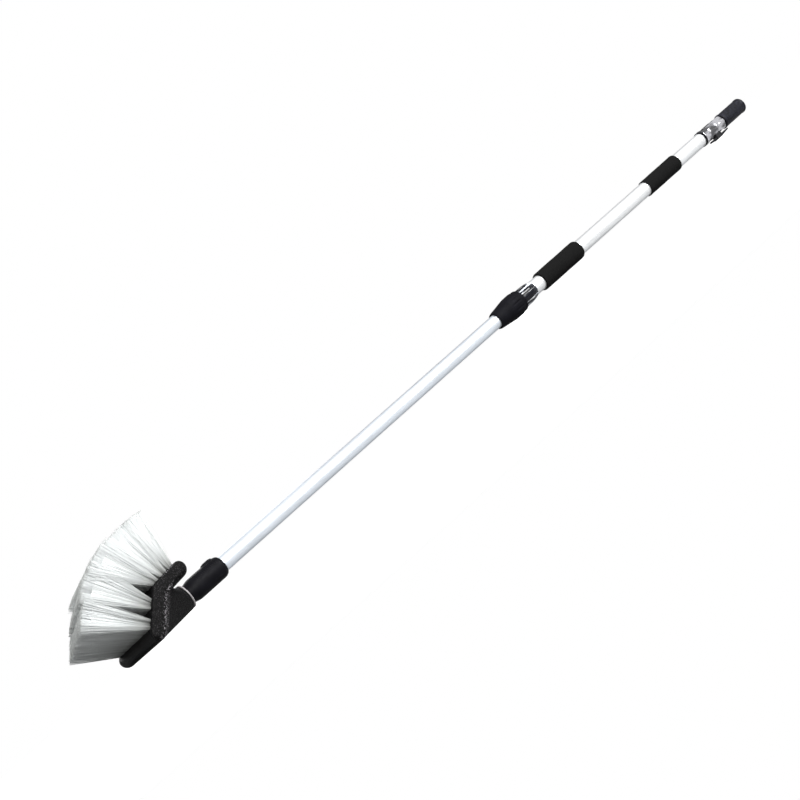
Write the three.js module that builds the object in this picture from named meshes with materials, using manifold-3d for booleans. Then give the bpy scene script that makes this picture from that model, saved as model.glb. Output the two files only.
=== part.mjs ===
// Telescopic flow-through snow and wash brush, in millimetres.
// It lies on its back. The pole runs along +X from the head to the hose end, the head's long side runs
// along Y, and the bristles point up and forward. Lengths along the pole count from the rim of the head's
// socket, and heights from the pole's axis. The finished group is moved so that its origin is the middle
// of its footprint.
import * as THREE from "three";
import { ConvexGeometry } from "three/addons/geometries/ConvexGeometry.js";
import { mergeVertices } from "three/addons/utils/BufferGeometryUtils.js";
import Module from "manifold-3d";

// ---------------------------------------------------------------- driving dimensions
const GAP = 0.3; // between pieces that touch
const ROUND = 32; // facets round a large turned piece
const FINE = 24; // facets round a small one

const HEAD_LENGTH = 203;
const PLATE_THICKNESS = 24;
const TOE = [-106.5, -4]; // x and z of the bristle face's front edge
const MAIN_FACET = { length: 65, angle: 45.5 }; // degrees above +X
const UPPER_FACET = { length: 45.5, angle: 5.6 };
const GUSSET_HALF_WIDTH = 95;
const CHAMBER_WALL = 7;
const JET = { place: 24, radius: 2.2, spacing: 66 };
const SOCKET = { radius: 20.5, rim: 9, depth: 34 };
const INSERT = { radius: 13, bore: 10 };

// Each band's span along the bristle face from the toe, how far its two sides lean up from straight
// ahead in degrees, and its length.
const BRISTLE_ROWS = [
  { span: [3, 18], lean: [40, 51], length: 96 },
  { span: [31, 48], lean: [52, 61], length: 97 },
  { span: [66.5, 79], lean: [64, 73], length: 93 },
  { span: [84, 96], lean: [76, 88], length: 89 },
  { span: [100, 108], lean: [92, 100], length: 88 },
];
const ROW_MARGIN = 7; // bare end of the face beside each band
const ROOT_GAP = 0.6;

const THREAD = { start: -30, end: 28, root: 8.8, crest: 9.7, pitch: 4 };
const WATERWAY = 5.5; // radius of the water passage
const ADAPTER = { start: 3, shoulder: 40, end: 77, radius: 18, nose: 14.3 };
const BUTTON = { middle: 59.5, length: 21, width: 10, floor: 13.6, bottom: 16, top: 21, stem: 3 };
const SPRING = { radius: 4, wire: 0.3, turns: 2, low: 14, high: 15.6 };

const INNER_TUBE = { start: 45, end: 930, bore: 11.3, radius: 12.5 };
const OUTER_TUBE = { start: 800.3, end: 1446, bore: 13, radius: 14 };
const NUT = { start: 758, end: 826, radius: 21.7, bore: 17.6, flutes: 12 };
const COLLET = { start: 768, thread: 791.5, pocket: 793, skirt: 826.3, end: 864, ribs: 10 };
const LARGE_GRIP = { start: 889, end: 1003, radius: 18, edge: 3 };
const SMALL_GRIP = { start: 1228, end: 1332, radius: 16.4, edge: 1.8 };

const VALVE = { start: 1429, end: 1479, radius: 15.2, spindle: 1468, boss: 17.4 };
const VALVE_FLAT = { start: 1456.6, z: -11.2 };
const BALL_RADIUS = 9;
const SEAT = { radius: 9.6, offset: 8, half: 2.2 };
const SPINDLE_RADIUS = 3;
const LEVER = { hub: 10.3, bore: 7.4, waist: 8, tail: 27, reach: 35, tip: 4.5,
  skirt: -11.6, high: -16.6, ceiling: -17.9, edge: -19.4, low: -22.2 };
const OUTLET_NUT = { start: 1479.5, end: 1497, radius: 15.6 };
const TAIL = { start: 1478.5, flange: 1512.3, end: 1516, radius: 8.2 };
const SLEEVE = { start: 1500, socket: 1512, end: 1573, radius: 15.7, bore: 12.6 };

// ---------------------------------------------------------------- materials
const finish = (color, roughness, metalness = 0) =>
  new THREE.MeshStandardMaterial({ color, roughness, metalness });
const FINISHES = {
  blockPlastic: finish(0x1c1b1d, 0.55),
  bristle: finish(0xe6e7e4, 0.6),
  blackPlastic: finish(0x121214, 0.4),
  glossPlastic: finish(0x15171b, 0.12),
  anodised: finish(0xd5dbe3, 0.28, 0.9),
  foam: finish(0x101011, 0.95),
  chrome: finish(0xd9dadd, 0.08, 1),
  brass: finish(0xb6914c, 0.3, 1),
  steel: finish(0xb9bbbf, 0.3, 1),
  rubber: finish(0x1a1a1a, 0.8),
  greyRubber: finish(0x8d8d90, 0.7),
  whitePlastic: finish(0xe4e4df, 0.4),
};

// ---------------------------------------------------------------- solids
const wasm = await Module();
wasm.setup();

const radians = THREE.MathUtils.degToRad;

/** Merges shared vertices, drops triangles that merging made flat, and turns the faces outwards. */
function closed(geometry) {
  const bare = geometry.clone();
  bare.deleteAttribute("normal");
  bare.deleteAttribute("uv");
  const merged = mergeVertices(bare, 1e-4);
  const corners = merged.index.array;
  const at = (i) => new THREE.Vector3().fromBufferAttribute(merged.attributes.position, i);
  let triangles = [];
  let volume = 0;
  for (let i = 0; i < corners.length; i += 3) {
    const [a, b, c] = corners.slice(i, i + 3);
    if (a === b || b === c || c === a) continue;
    triangles.push([a, b, c]);
    volume += at(a).dot(at(b).cross(at(c)));
  }
  if (volume < 0) triangles = triangles.map(([a, b, c]) => [a, c, b]);
  merged.setIndex(triangles.flat());
  return merged;
}

function toSolid(geometry) {
  const mesh = closed(geometry);
  const vertProperties = new Float32Array(mesh.attributes.position.array);
  const triVerts = new Uint32Array(mesh.index.array);
  return new wasm.Manifold(new wasm.Mesh({ numProp: 3, vertProperties, triVerts }));
}

function fromSolid(solid) {
  const { vertProperties, triVerts } = solid.getMesh();
  const geometry = new THREE.BufferGeometry();
  geometry.setAttribute("position", new THREE.BufferAttribute(new Float32Array(vertProperties), 3));
  geometry.setIndex(new THREE.BufferAttribute(new Uint32Array(triVerts), 1));
  return geometry;
}

const join = (first, ...others) =>
  fromSolid(others.reduce((sum, other) => sum.add(toSolid(other)), toSolid(first)));
const cut = (body, ...tools) =>
  fromSolid(tools.reduce((rest, tool) => rest.subtract(toSolid(tool)), toSolid(body)));
const common = (a, b) => fromSolid(toSolid(a).intersect(toSolid(b)));

/** Turns a list of [x, radius] corners about the pole's axis. */
function turned(profile, facets = ROUND) {
  const points = profile.map(([x, radius]) => new THREE.Vector2(radius, x));
  return closed(new THREE.LatheGeometry(points, facets).rotateZ(-Math.PI / 2));
}

/** A hollow turned piece: the outside's [x, radius] corners and the bore's, both front to back. */
const hollow = (outside, bore, facets = ROUND) =>
  turned([...outside, ...[...bore].reverse(), outside[0]], facets);

const tube = ({ start, end, bore, radius }, facets = ROUND) =>
  hollow([[start, radius], [end, radius]], [[start, bore], [end, bore]], facets);

const rod = (start, end, radius, facets = FINE) =>
  turned([[start, 0], [start, radius], [end, radius], [end, 0]], facets);

/** A round bar between two points. */
function bar(from, to, radius, facets = FINE) {
  const [a, b] = [new THREE.Vector3(...from), new THREE.Vector3(...to)];
  const along = b.clone().sub(a);
  const up = new THREE.Vector3(0, 1, 0);
  const turn = new THREE.Quaternion().setFromUnitVectors(up, along.clone().normalize());
  const middle = a.add(b).multiplyScalar(0.5);
  const cylinder = new THREE.CylinderGeometry(radius, radius, along.length(), facets);
  return closed(cylinder.applyQuaternion(turn).translate(...middle));
}

const upright = (x, low, high, radius, facets = FINE) => bar([x, 0, low], [x, 0, high], radius, facets);

const box = (x, z, long, wide, high) =>
  closed(new THREE.BoxGeometry(long, wide, high).translate(x, 0, z));

/** Copies of a solid, spaced evenly round the pole's axis, or round a part of a turn. */
const around = (solid, count, turn = 2 * Math.PI) =>
  Array.from({ length: count }, (_, i) => solid.clone().rotateX((i / count) * turn));

/** An outline of [x, z] corners, extruded across the head. */
function slab(outline, width) {
  const shape = new THREE.Shape(outline.map(([x, z]) => new THREE.Vector2(x, z)));
  const solid = new THREE.ExtrudeGeometry(shape, { depth: width, bevelEnabled: false });
  return closed(solid.rotateX(Math.PI / 2).translate(0, width / 2, 0));
}

// ---------------------------------------------------------------- the head's section
const heading = (angle) => [Math.cos(radians(angle)), Math.sin(radians(angle))];
const step = ([x, z], [dx, dz], distance) => [x + dx * distance, z + dz * distance];
const inward = ([x, z]) => [z, -x]; // from the bristle face into the plate

const MAIN_WAY = heading(MAIN_FACET.angle);
const UPPER_WAY = heading(UPPER_FACET.angle);
const BEND = step(TOE, MAIN_WAY, MAIN_FACET.length);
const CROWN = step(BEND, UPPER_WAY, UPPER_FACET.length);

/** The point of the bristle face at a distance along it from the toe. */
const facePoint = (place) =>
  place > MAIN_FACET.length ? step(BEND, UPPER_WAY, place - MAIN_FACET.length) : step(TOE, MAIN_WAY, place);

/** Where the two facets' planes meet, at a depth below the bristle face. */
function bendAt(depth) {
  const half = radians((MAIN_FACET.angle - UPPER_FACET.angle) / 2);
  const middle = heading((MAIN_FACET.angle + UPPER_FACET.angle) / 2);
  return step(BEND, inward(middle), depth / Math.cos(half));
}

/** Points of a half circle about a centre, turning down from a starting direction. */
function halfCircle(centre, radius, start) {
  const turns = Array.from({ length: 9 }, (_, i) => start - i * 22.5);
  return turns.map((angle) => step(centre, heading(angle), radius));
}

const HALF_PLATE = PLATE_THICKNESS / 2;
const TOE_CENTRE = step(TOE, inward(MAIN_WAY), HALF_PLATE);
const TIP_CENTRE = step(CROWN, inward(UPPER_WAY), HALF_PLATE);

/** The plate's outline, shrunk by an inset on every side. The toe and the tip are half circles. */
function plateOutline(inset) {
  const radius = HALF_PLATE - inset;
  const tip = halfCircle(TIP_CENTRE, radius, UPPER_FACET.angle + 90);
  const toe = halfCircle(TOE_CENTRE, radius, MAIN_FACET.angle - 90);
  return [bendAt(inset), ...tip, bendAt(PLATE_THICKNESS - inset), ...toe];
}

// ---------------------------------------------------------------- head pieces
/** The delta-shaped web between the plate's back and the socket's rim. */
function gusset() {
  const corners = [];
  const underside = step(TOE_CENTRE, [0, -1], HALF_PLATE);
  for (const y of [-GUSSET_HALF_WIDTH, GUSSET_HALF_WIDTH]) {
    for (const [x, z] of [underside, bendAt(PLATE_THICKNESS)]) {
      corners.push(new THREE.Vector3(x, y, z));
    }
  }
  for (let i = 0; i < ROUND; i += 1) {
    const [cosine, sine] = heading((360 * i) / ROUND);
    for (const x of [-SOCKET.rim, 0]) {
      corners.push(new THREE.Vector3(x, SOCKET.radius * cosine, SOCKET.radius * sine));
    }
  }
  return new ConvexGeometry(corners);
}

/** The moulded head, with its socket, the water chamber inside it and the jets between the bristles. */
function brushBlock() {
  const plate = slab(plateOutline(0), HEAD_LENGTH);
  const chamber = slab(plateOutline(CHAMBER_WALL), HEAD_LENGTH - 2 * CHAMBER_WALL);
  const socket = rod(-SOCKET.depth, 1, INSERT.radius + GAP);
  const duct = rod(-84, 1 - SOCKET.depth, WATERWAY);
  const [x, z] = facePoint(JET.place);
  const [dx, dz] = inward(MAIN_WAY);
  const jets = [-1, 0, 1].map((i) => {
    const y = i * JET.spacing;
    return bar([x + 15 * dx, y, z + 15 * dz], [x - 3 * dx, y, z - 3 * dz], JET.radius, 12);
  });
  return cut(join(plate, gusset()), socket, duct, chamber, ...jets);
}

function bristleRow({ span, lean, length }) {
  const ways = lean.map((angle) => heading(180 - angle));
  const roots = span.map((place, i) => step(facePoint(place), ways[i], ROOT_GAP));
  const tips = roots.map((root, i) => step(root, ways[i], length));
  return slab([roots[0], roots[1], tips[1], tips[0]], HEAD_LENGTH - 2 * ROW_MARGIN);
}

// ---------------------------------------------------------------- adapter and inner pole
/** A hollow screw. Ring-shaped ridges stand in for the thread's turns. */
function threadedTip() {
  const { start, end, root, crest, pitch } = THREAD;
  const ridges = [];
  for (let x = start + 2; x < -pitch; x += pitch) {
    ridges.push([x, root], [x + 1, crest], [x + 2, crest], [x + 3, root]);
  }
  return hollow([[start, root - 1], ...ridges, [end, root]], [[start, WATERWAY], [end, WATERWAY]], FINE);
}

function poleAdapter() {
  const { start, shoulder, end, radius, nose } = ADAPTER;
  const outside = [[start, nose], [start + 15, radius], [end - 6, radius], [end - 2, radius - 1.2],
    [end, radius - 3.2]];
  const tipBore = THREAD.root + GAP;
  const tubeBore = INNER_TUBE.radius + GAP;
  const bore = [[start, tipBore], [THREAD.end + GAP, tipBore], [THREAD.end + GAP, WATERWAY],
    [shoulder, WATERWAY], [shoulder, tubeBore], [end, tubeBore]];
  const pocket = box(BUTTON.middle, BUTTON.floor + 5, BUTTON.length + 1, BUTTON.width + 1, 10);
  const stemHole = upright(BUTTON.middle, 5, 20, BUTTON.stem + GAP);
  return cut(hollow(outside, bore), pocket, stemHole);
}

/** A crowned cap over a stem that reaches through the adapter and the tube. */
function releaseButton() {
  const { middle, length, width, bottom, top, stem } = BUTTON;
  const crown = rod(middle - length / 2, middle + length / 2, top, 4 * ROUND);
  const cap = common(crown, box(middle, bottom + 5, length, width, 10));
  return join(cap, upright(middle, 8.5, bottom + 1, stem));
}

/** A round wire wound about the button's stem. */
function buttonSpring() {
  class Helix extends THREE.Curve {
    getPoint(t, target = new THREE.Vector3()) {
      const [cosine, sine] = heading(360 * SPRING.turns * t);
      const height = SPRING.low + (SPRING.high - SPRING.low) * t;
      return target.set(BUTTON.middle + SPRING.radius * cosine, SPRING.radius * sine, height);
    }
  }
  const section = new THREE.Shape().absarc(0, 0, SPRING.wire, 0, 2 * Math.PI);
  const options = { curveSegments: 6, steps: 14 * SPRING.turns, extrudePath: new Helix() };
  return closed(new THREE.ExtrudeGeometry(section, options));
}

const innerTube = () => cut(tube(INNER_TUBE), upright(BUTTON.middle, 5, 20, BUTTON.stem + GAP, 16));

/** A plug in the tube's hidden end. Its head slides in the outer tube and carries a water seal. */
function guideBush() {
  const { end, bore } = INNER_TUBE;
  const stem = bore - GAP;
  const head = OUTER_TUBE.bore - GAP;
  const groove = head - 1.9;
  const outside = [[end - 18, stem], [end + GAP, stem], [end + GAP, head], [end + 5, head],
    [end + 5, groove], [end + 8, groove], [end + 8, head], [end + 13, head]];
  return hollow(outside, [[end - 18, 8.5], [end + 13, 8.5]]);
}

/** A ring of round section on the pole's axis. */
const oRing = (x, radius, section) =>
  closed(new THREE.TorusGeometry(radius, section, 8, FINE).rotateY(Math.PI / 2).translate(x, 0, 0));

// ---------------------------------------------------------------- twist lock and grips
/** Slotted fingers and a barrel under the nut, and a ribbed skirt that stays in view. */
function clampCollet() {
  const { start, thread, pocket, skirt, end, ribs } = COLLET;
  const slide = INNER_TUBE.radius + GAP;
  const seat = OUTER_TUBE.radius + GAP;
  const outside = [[start, 13.9], [thread - 3, 16], [thread, 16], [thread, 17.2], [skirt - GAP, 17.2],
    [skirt, 16.4], [end - 3, 15.2], [end, 15.2]];
  const bore = [[start, slide], [pocket, slide], [pocket, seat], [end, seat]];
  const rib = box((skirt + end) / 2, 16, end - skirt - 1, 3.2, 4.4);
  const envelope = hollow([[skirt - 1, 17.9], [end - 14, 17.4], [end + 1, 15.4]],
    [[skirt - 1, 15], [end + 1, 15]]);
  const skirtRibs = common(join(...around(rib, ribs)), envelope);
  const slots = around(box(start + 8, 0, 20, 1.6, 40), 3, Math.PI);
  return cut(join(hollow(outside, bore), skirtRibs), ...slots);
}

function lockNut() {
  const { start, end, radius, flutes } = NUT;
  const outside = [[start, 15.3], [start + 4, 16.4], [start + 38, radius - 0.5], [start + 43, radius],
    [start + 58, radius], [start + 61, radius - 1], [end, radius - 1.3]];
  const entry = INNER_TUBE.radius + 0.4;
  const bore = [[start, entry], [COLLET.start - 3, entry], [COLLET.start - 1, 14.3],
    [COLLET.thread - 2, 16.7], [COLLET.thread - 2, NUT.bore], [end, NUT.bore]];
  const flute = bar([start + 30, 0, radius + 1.6], [end + 4, 0, radius + 1.6], 2.6, 10);
  return cut(hollow(outside, bore), ...around(flute, flutes));
}

/** A foam sleeve on the outer tube, with quarter-round edges. */
function foamGrip({ start, end, radius, edge }) {
  const arc = [0, 30, 60, 90].map((angle) => heading(angle).map((share) => edge * (1 - share)));
  const front = arc.map(([drop, back]) => [start + back, radius - drop]).reverse();
  const rear = arc.map(([drop, back]) => [end - back, radius - drop]);
  const bore = OUTER_TUBE.radius + GAP;
  return hollow([...front, ...rear], [[start, bore], [end, bore]]);
}

// ---------------------------------------------------------------- shut-off valve
const ball = (radius) => new THREE.SphereGeometry(radius, FINE, 16).translate(VALVE.spindle, 0, 0);

/** A cup over the tube's end, a ball chamber that loads from the rear, and a flat with the spindle's boss. */
function valveBody() {
  const { start, end, radius, spindle, boss } = VALVE;
  const cup = OUTER_TUBE.end + GAP;
  const outside = [[start, radius + 0.6], [start + 4, radius + 0.6], [start + 5, radius], [cup + 1, radius],
    [cup + 3, radius - 1], [end - 8, radius - 1], [end - 6, radius], [end, radius]];
  const bore = [[start, OUTER_TUBE.radius + GAP], [cup, OUTER_TUBE.radius + GAP], [cup, WATERWAY],
    [end, WATERWAY]];
  const loading = rod(spindle - SEAT.offset - SEAT.half - GAP, end + 1, SEAT.radius + GAP);
  const stemBore = upright(spindle, -boss - 1, -7, SPINDLE_RADIUS + GAP, 16);
  const length = end + 1 - VALVE_FLAT.start;
  const relief = box(VALVE_FLAT.start + length / 2, VALVE_FLAT.z - 5, length, 2 * radius, 10);
  const shell = cut(hollow(outside, bore), relief);
  return cut(join(shell, upright(spindle, -boss, VALVE_FLAT.z + 0.5, 7)), loading, stemBore);
}

/** A ring with a dished face that the ball turns against. */
function valveSeat(side) {
  const x = VALVE.spindle + side * SEAT.offset;
  const { half, radius } = SEAT;
  return cut(tube({ start: x - half, end: x + half, bore: WATERWAY, radius }, FINE), ball(BALL_RADIUS + GAP));
}

function valveBall() {
  const { spindle } = VALVE;
  const slot = box(spindle, -BALL_RADIUS, 8, 2.4, 4);
  return cut(ball(BALL_RADIUS), rod(spindle - 12, spindle + 12, WATERWAY), slot);
}

/** A stem with a tongue in the ball's slot, a seal groove, and a square end with a screw hole. */
function valveSpindle() {
  const { spindle, boss } = VALVE;
  const stem = upright(spindle, -boss - GAP / 2, -9.6, SPINDLE_RADIUS, 16);
  const tongue = box(spindle, -8.7, 4, 1.7, 2.4);
  const square = box(spindle, -boss - 0.8, 3.4, 3.4, 1.8);
  const groove = cut(upright(spindle, -14.6, -13.2, 6, 16), upright(spindle, -15, -13, 2, 16));
  return cut(join(stem, tongue, square), groove, upright(spindle, -20, -16, 1.3, 12));
}

const spindleORing = () =>
  closed(new THREE.TorusGeometry(2.6, 0.5, 8, 16).translate(VALVE.spindle, 0, -13.9));

/** A hub that skirts the valve's boss, and a blade that lies along the pole when the valve is open. */
function valveLever() {
  const { hub, bore, waist, tail, reach, tip, skirt, high, ceiling, edge, low } = LEVER;
  const { spindle } = VALVE;
  const plan = new THREE.Shape();
  plan.absarc(reach - tip, 0, tip, -Math.PI / 2, Math.PI / 2);
  plan.lineTo(0, waist);
  plan.absarc(tip - tail, 0, tip, Math.PI / 2, (3 * Math.PI) / 2);
  plan.lineTo(0, -waist);
  const options = { depth: high - low, bevelEnabled: false, curveSegments: 8 };
  const flat = new THREE.ExtrudeGeometry(plan, options).translate(spindle, 0, low);
  const side = slab([[spindle - tail, high], [spindle + reach, high], [spindle + reach, edge],
    [spindle + tip, low], [spindle - tip, low], [spindle - tail, edge]], 3 * waist);
  const body = join(common(flat, side), upright(spindle, low, skirt, hub, ROUND));
  const bossRoom = upright(spindle, ceiling, skirt + 1, bore);
  const square = box(spindle, ceiling - 0.6, 4, 4, 2.2);
  const screwHole = upright(spindle, low - 1, ceiling, 1.5, 12);
  const counterbore = upright(spindle, low - 1, low + 1.2, 3, 16);
  return cut(body, bossRoom, square, screwHole, counterbore);
}

/** A screw whose head sits in the lever's counterbore and whose shank goes into the spindle. */
function leverScrew() {
  const { spindle } = VALVE;
  const head = LEVER.low + 0.9;
  return join(upright(spindle, head - 0.7, head, 2.6, 16), upright(spindle, head - 0.1, -16.5, 1, 12));
}

// ---------------------------------------------------------------- outlet and hose coupling
function outletNut() {
  const { start, end, radius } = OUTLET_NUT;
  const bore = [[start, SEAT.radius + GAP], [start + 2.3, SEAT.radius + GAP],
    [start + 2.3, TAIL.radius + GAP], [end, TAIL.radius + GAP]];
  const hexagon = rod(start, end, radius, 6);
  const chamfer = turned([[start, 0], [start, radius - 1], [start + 2, radius], [end - 2, radius],
    [end, radius - 1], [end, 0]]);
  return cut(common(hexagon, chamfer), hollow([[start - 1, 0], [end + 1, 0]], [[start - 1, bore[0][1]],
    ...bore, [end + 1, bore[3][1]]], FINE));
}

/** The valve's outlet: a collar held by the nut, and a flange that the sleeve turns against. */
function tailStem() {
  const { start, flange, end, radius } = TAIL;
  const outside = [[start, SEAT.radius], [start + 3, SEAT.radius], [start + 3, radius], [flange, radius],
    [flange, SLEEVE.bore - 0.5], [end, SLEEVE.bore - 0.5]];
  return hollow(outside, [[start, WATERWAY], [end, WATERWAY]], FINE);
}

/** A long coupling sleeve with a raised band at each end. The hose screws into its rear. */
function endSleeve() {
  const { start, socket, end, radius, bore } = SLEEVE;
  const barrel = radius - 0.6;
  const outside = [[start, radius - 1.2], [start + 1.2, radius], [start + 5, radius], [start + 6, barrel],
    [end - 6, barrel], [end - 5, radius], [end - 1.2, radius], [end, radius - 1.2]];
  const neck = TAIL.radius + GAP;
  return hollow(outside, [[start, neck], [socket, neck], [socket, bore], [end, bore]]);
}

function filterScreen() {
  const start = TAIL.end + 3.6;
  const holes = around(bar([start - 1, 0, 7], [start + 3, 0, 7], 1.9, 10), 6);
  return cut(rod(start, start + 1.4, SLEEVE.bore - 0.4), rod(start - 1, start + 3, 2), ...holes);
}

// ---------------------------------------------------------------- the brush
const brush = new THREE.Group();

function add(name, material, geometry) {
  const piece = new THREE.Mesh(geometry, FINISHES[material]);
  piece.name = name;
  brush.add(piece);
}

add("brush_block", "blockPlastic", brushBlock());
BRISTLE_ROWS.forEach((row, i) => add(`bristle_row_${i + 1}`, "bristle", bristleRow(row)));
add("socket_insert", "whitePlastic", tube({ start: GAP - SOCKET.depth, end: -0.5, ...INSERT }, FINE));
add("rim_washer", "greyRubber", tube({ start: GAP, end: 2.7, bore: 10, radius: 20.2 }));

add("threaded_tip", "whitePlastic", threadedTip());
add("pole_adapter", "blackPlastic", poleAdapter());
add("adapter_seal", "rubber", tube({ start: 40.3, end: 44.7, bore: 8, radius: 12.4 }, FINE));
add("release_button", "blackPlastic", releaseButton());
add("button_spring", "steel", buttonSpring());
add("inner_tube", "anodised", innerTube());
add("guide_bush", "whitePlastic", guideBush());
add("guide_o_ring", "rubber", oRing(INNER_TUBE.end + 6.5, 11.75, 0.8));

add("clamp_collet", "glossPlastic", clampCollet());
add("clamp_o_ring", "rubber", oRing(COLLET.pocket + 3.6, 13.5, 0.6));
add("lock_nut", "blackPlastic", lockNut());
add("outer_tube", "anodised", tube(OUTER_TUBE));
add("foam_grip_large", "foam", foamGrip(LARGE_GRIP));
add("foam_grip_small", "foam", foamGrip(SMALL_GRIP));
add("tube_end_ring", "blackPlastic", tube({ start: 1424, end: 1428.5, bore: 14.3, radius: 15.4 }));

add("valve_body", "chrome", valveBody());
add("valve_seat_front", "whitePlastic", valveSeat(-1));
add("valve_seat_rear", "whitePlastic", valveSeat(1));
add("valve_ball", "chrome", valveBall());
add("valve_spindle", "brass", valveSpindle());
add("spindle_o_ring", "rubber", spindleORing());
add("valve_lever", "blackPlastic", valveLever());
add("lever_screw", "steel", leverScrew());
add("outlet_nut", "chrome", outletNut());
add("tail_stem", "brass", tailStem());
add("end_sleeve", "blackPlastic", endSleeve());
add("hose_washer", "rubber", tube({ start: 1516.3, end: 1519.3, bore: 5.5, radius: 12.2 }, FINE));
add("filter_screen", "steel", filterScreen());

const extent = new THREE.Box3().setFromObject(brush);
brush.position.set(-(extent.min.x + extent.max.x) / 2, 0, -extent.min.z);

export default brush;
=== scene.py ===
"""Telescopic flow-through snow brush: finished shapes, materials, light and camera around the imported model.

Shapes are written in millimetres in the pole's own terms: x runs along the pole from the rim of the head's
socket, y across it, and z or a radius from the pole's axis. in_frame() turns them into metres in the frame.
"""
from math import cos, hypot, pi, radians, sin, sqrt

import bmesh
import bpy
import numpy as np
from mathutils import Matrix, Vector


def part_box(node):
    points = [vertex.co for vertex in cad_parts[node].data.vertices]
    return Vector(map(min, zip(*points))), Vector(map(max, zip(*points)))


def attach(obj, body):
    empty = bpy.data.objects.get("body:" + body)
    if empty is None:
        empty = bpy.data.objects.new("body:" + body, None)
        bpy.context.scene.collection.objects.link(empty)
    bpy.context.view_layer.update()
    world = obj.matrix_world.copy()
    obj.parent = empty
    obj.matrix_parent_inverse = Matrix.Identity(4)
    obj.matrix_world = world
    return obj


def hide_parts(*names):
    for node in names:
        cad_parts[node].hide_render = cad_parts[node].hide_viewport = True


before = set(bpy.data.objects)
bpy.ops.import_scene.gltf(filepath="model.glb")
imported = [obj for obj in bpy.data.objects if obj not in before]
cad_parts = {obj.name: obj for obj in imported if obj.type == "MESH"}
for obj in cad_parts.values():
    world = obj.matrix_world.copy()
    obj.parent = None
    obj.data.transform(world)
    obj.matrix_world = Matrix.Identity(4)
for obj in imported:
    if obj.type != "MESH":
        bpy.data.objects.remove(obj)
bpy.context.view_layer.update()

MM = 0.001
SEED = 7
scene = bpy.context.scene

# ---------------------------------------------------------------- places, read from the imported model
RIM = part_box("brush_block")[1].x          # the socket's rim: pole lengths count from here
AXIS_Z = (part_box("inner_tube")[0].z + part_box("inner_tube")[1].z) / 2
HEAD_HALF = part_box("brush_block")[1].y / MM


def in_frame(points):
    return np.asarray(points, float) * MM + np.array((RIM, 0.0, AXIS_Z))


def ends(node):
    """Where a CAD node starts and ends along the pole, in millimetres."""
    low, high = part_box(node)
    return (low.x - RIM) / MM, (high.x - RIM) / MM


# ---------------------------------------------------------------- camera
CAMERA = {"yaw": 31.5, "elevation": -0.6, "roll": 41.84, "distance": 2.481, "lens": 67.5}
CAMERA_AIM = (505.6, 0.0, 8.4)


def make_camera():
    yaw, elevation, roll = (radians(CAMERA[k]) for k in ("yaw", "elevation", "roll"))
    view = Vector((sin(yaw) * cos(elevation), cos(yaw) * cos(elevation), -sin(elevation)))
    level = view.cross(Vector((0, 0, 1))).normalized()
    upright = level.cross(view)
    right = cos(roll) * level - sin(roll) * upright
    up = sin(roll) * level + cos(roll) * upright
    data = bpy.data.cameras.new("camera")
    data.lens = CAMERA["lens"]
    data.sensor_width = 36
    data.clip_end = 100
    camera = bpy.data.objects.new("camera", data)
    turn = Matrix((right, up, -view)).transposed().to_4x4()
    place = Vector(in_frame(CAMERA_AIM)) - view * CAMERA["distance"]
    camera.matrix_world = Matrix.Translation(place) @ turn
    scene.collection.objects.link(camera)
    scene.camera = camera


make_camera()


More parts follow.
